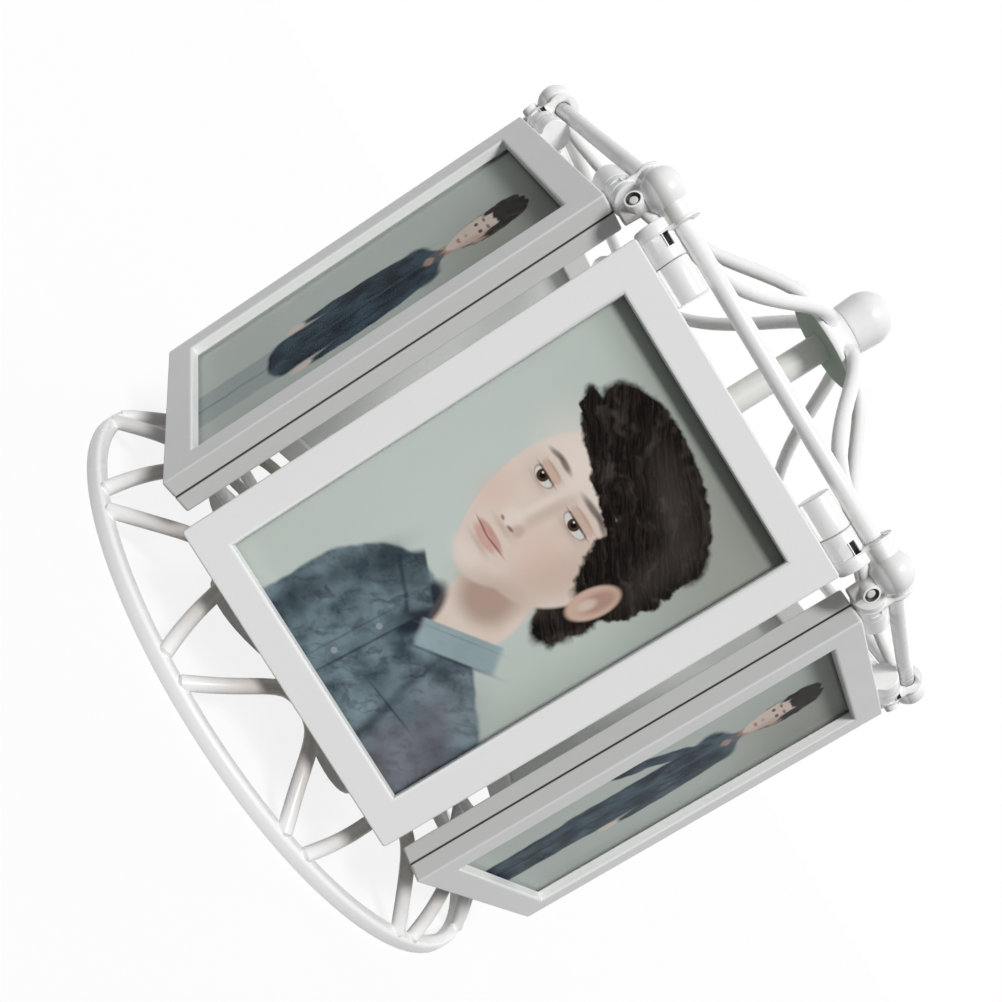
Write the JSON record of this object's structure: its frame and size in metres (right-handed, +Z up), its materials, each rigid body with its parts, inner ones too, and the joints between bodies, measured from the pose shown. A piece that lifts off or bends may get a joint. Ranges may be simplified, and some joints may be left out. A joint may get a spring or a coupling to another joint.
{
  "type": "rotating carousel photo frame",
  "caption": "Tabletop carousel photo frame: double-sided picture frames hang by knuckle hinges from a turning crown on a centre column, over an openwork ring base.",
  "frame": {"origin": "on the turning axis, at the level of the surface that the base ring stands on", "axes": "+Z up along the turning axis, -Y out through the front picture frame, +X to the right of someone facing that frame"},
  "size_m": [0.2912, 0.26, 0.2892],
  "materials": {
    "white_plastic": "satin",
    "off_white_plastic": "matte",
    "steel": "satin",
    "clear_pane": "clear, gloss",
    "photo_paper": "satin"
  },
  "bodies": {
    "base": {"ring_base": "white_plastic", "spoked_hub": "white_plastic", "hub_bush": "off_white_plastic"},
    "wheel": {"column": "white_plastic", "turntable_plate": "off_white_plastic", "plate_nut": "steel", "canopy": "white_plastic", "finial": "white_plastic", "crown_bar_1": "white_plastic", "crown_bar_2": "white_plastic", "crown_bar_3": "white_plastic", "crown_bar_4": "white_plastic", "crown_bar_5": "white_plastic", "crown_bar_6": "white_plastic", "corner_fitting_1": "white_plastic", "corner_fitting_2": "white_plastic", "corner_fitting_3": "white_plastic", "corner_fitting_4": "white_plastic", "corner_fitting_5": "white_plastic", "corner_fitting_6": "white_plastic"},
    "unit_1": {"unit_1_outer_frame": "white_plastic", "unit_1_inner_frame": "white_plastic", "unit_1_outer_pane": "clear_pane", "unit_1_inner_pane": "clear_pane", "unit_1_outer_print": "photo_paper", "unit_1_inner_print": "photo_paper"},
    "unit_2": {"unit_2_outer_frame": "white_plastic", "unit_2_inner_frame": "white_plastic", "unit_2_outer_pane": "clear_pane", "unit_2_inner_pane": "clear_pane", "unit_2_outer_print": "photo_paper", "unit_2_inner_print": "photo_paper"},
    "unit_3": {"unit_3_outer_frame": "white_plastic", "unit_3_inner_frame": "white_plastic", "unit_3_outer_pane": "clear_pane", "unit_3_inner_pane": "clear_pane", "unit_3_outer_print": "photo_paper", "unit_3_inner_print": "photo_paper"},
    "unit_4": {"unit_4_outer_frame": "white_plastic", "unit_4_inner_frame": "white_plastic", "unit_4_outer_pane": "clear_pane", "unit_4_inner_pane": "clear_pane", "unit_4_outer_print": "photo_paper", "unit_4_inner_print": "photo_paper"},
    "unit_5": {"unit_5_outer_frame": "white_plastic", "unit_5_inner_frame": "white_plastic", "unit_5_outer_pane": "clear_pane", "unit_5_inner_pane": "clear_pane", "unit_5_outer_print": "photo_paper", "unit_5_inner_print": "photo_paper"},
    "unit_6": {"unit_6_outer_frame": "white_plastic", "unit_6_inner_frame": "white_plastic", "unit_6_outer_pane": "clear_pane", "unit_6_inner_pane": "clear_pane", "unit_6_outer_print": "photo_paper", "unit_6_inner_print": "photo_paper"}
  },
  "joints": [
    {"name": "wheel_spin", "type": "hinge", "parent": "base", "child": "wheel", "pos_m": [0, 0, 0.0285], "axis": [0, 0, 1], "continuous": true},
    {"name": "unit_1_swing", "type": "hinge", "parent": "wheel", "child": "unit_1", "pos_m": [0, -0.1196, 0.20895], "axis": [-1, 0, 0], "range_deg": [-2, 85]},
    {"name": "unit_2_swing", "type": "hinge", "parent": "wheel", "child": "unit_2", "pos_m": [0.10358, -0.0598, 0.20895], "axis": [-0.5, -0.866, 0], "range_deg": [-2, 85]},
    {"name": "unit_3_swing", "type": "hinge", "parent": "wheel", "child": "unit_3", "pos_m": [0.10358, 0.0598, 0.20895], "axis": [0.5, -0.866, 0], "range_deg": [-2, 85]},
    {"name": "unit_4_swing", "type": "hinge", "parent": "wheel", "child": "unit_4", "pos_m": [0, 0.1196, 0.20895], "axis": [1, 0, 0], "range_deg": [-2, 85]},
    {"name": "unit_5_swing", "type": "hinge", "parent": "wheel", "child": "unit_5", "pos_m": [-0.10358, 0.0598, 0.20895], "axis": [0.5, 0.866, 0], "range_deg": [-2, 85]},
    {"name": "unit_6_swing", "type": "hinge", "parent": "wheel", "child": "unit_6", "pos_m": [-0.10358, -0.0598, 0.20895], "axis": [-0.5, 0.866, 0], "range_deg": [-2, 85]}
  ]
}
